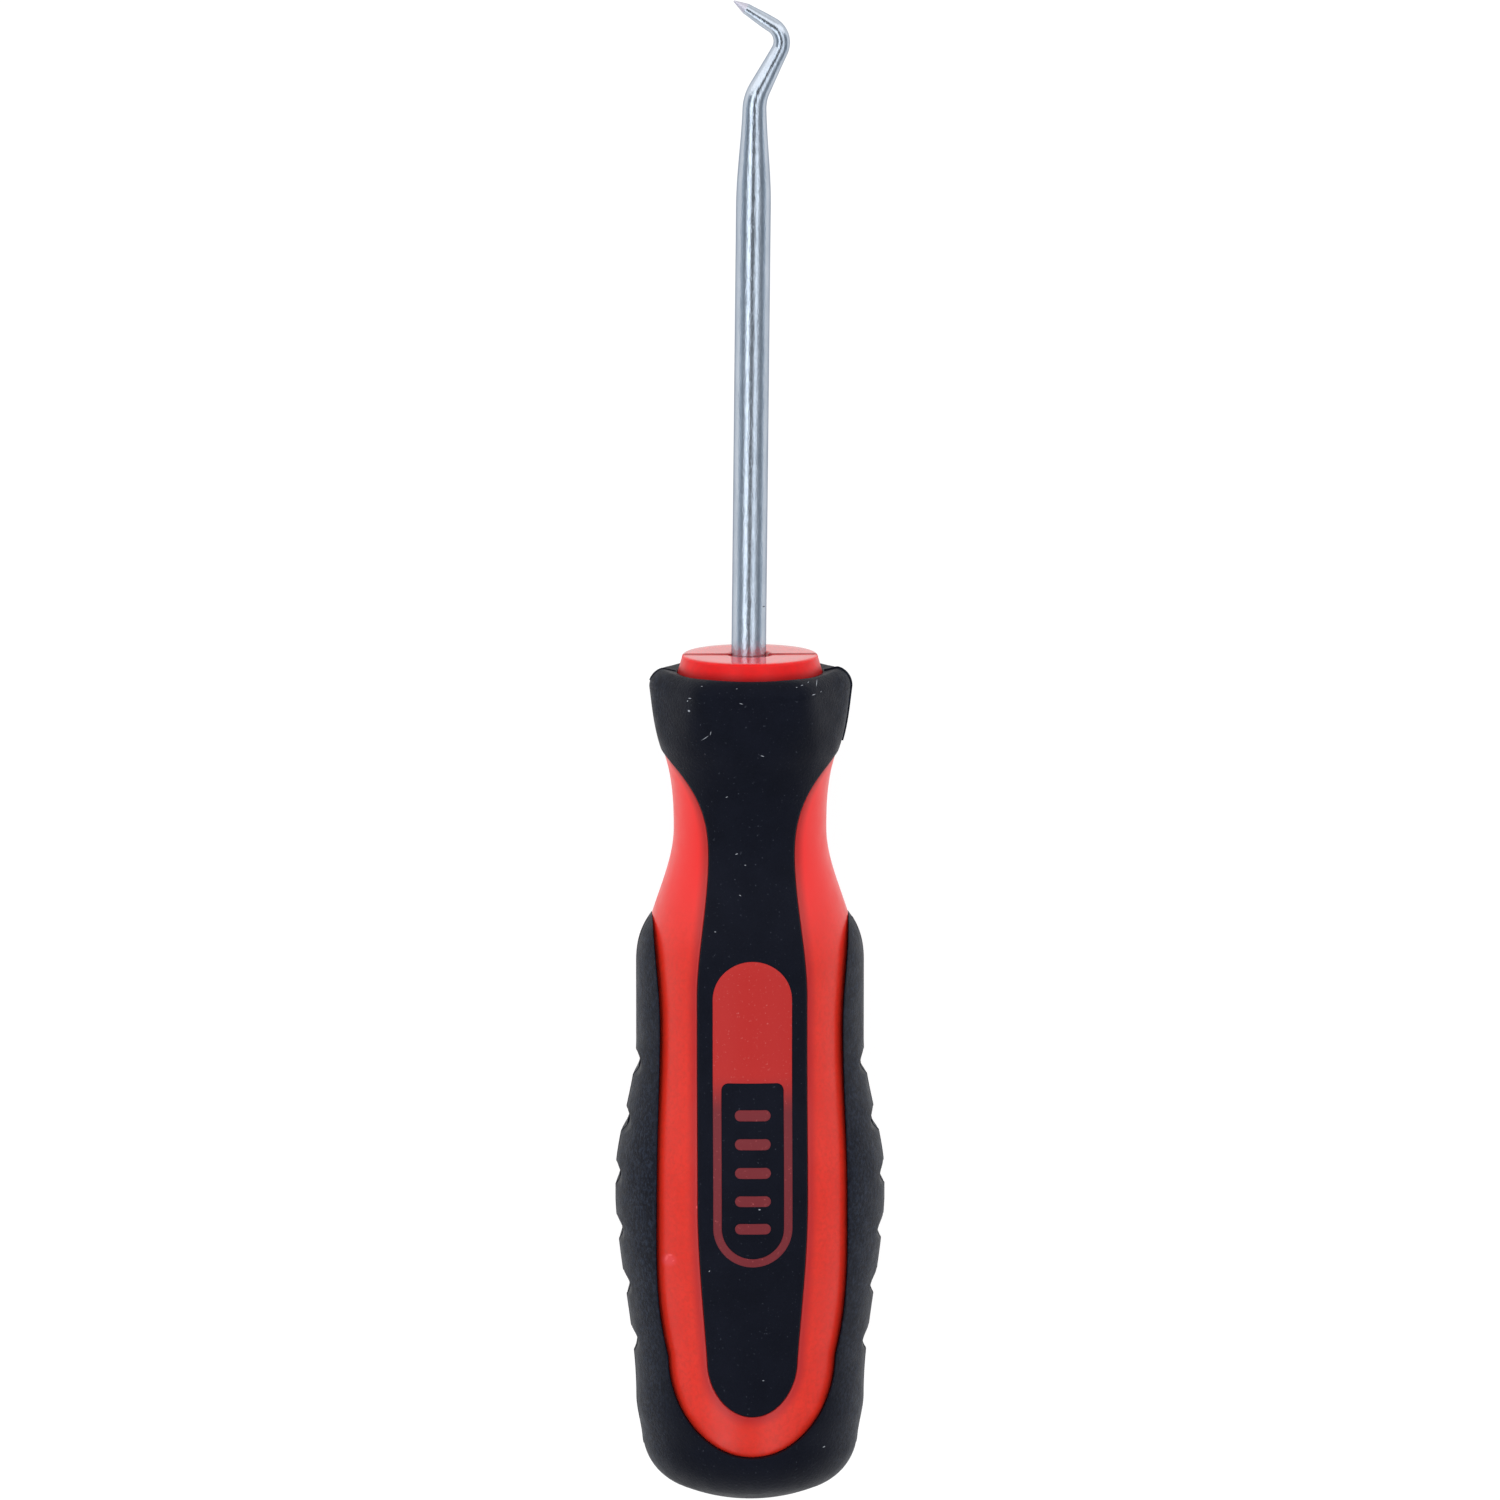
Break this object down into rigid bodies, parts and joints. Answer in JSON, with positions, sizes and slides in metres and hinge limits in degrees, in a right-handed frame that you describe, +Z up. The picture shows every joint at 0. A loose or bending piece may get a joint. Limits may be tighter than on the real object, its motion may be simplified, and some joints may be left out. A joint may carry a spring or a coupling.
{
  "type": "angled hook tool",
  "caption": "Hand tool with a bent, ground steel hook on a straight shaft and a two-colour moulded handle with a six-sided guard.",
  "frame": {"origin": "middle of the footprint, on the surface that the tool lies on", "axes": "+Y along the tool from the butt to the hook, +Z up from the bench and out of the badge side, +X to the right; the hook's nose points to -X"},
  "size_m": [0.025, 0.1397, 0.0244],
  "materials": {
    "steel": "satin",
    "red_plastic": "satin",
    "black_rubber": "matte"
  },
  "bodies": {
    "root": {"hook_shaft": "steel", "handle_core": "red_plastic", "upper_grip": "black_rubber", "lower_grip": "black_rubber"}
  },
  "joints": []
}
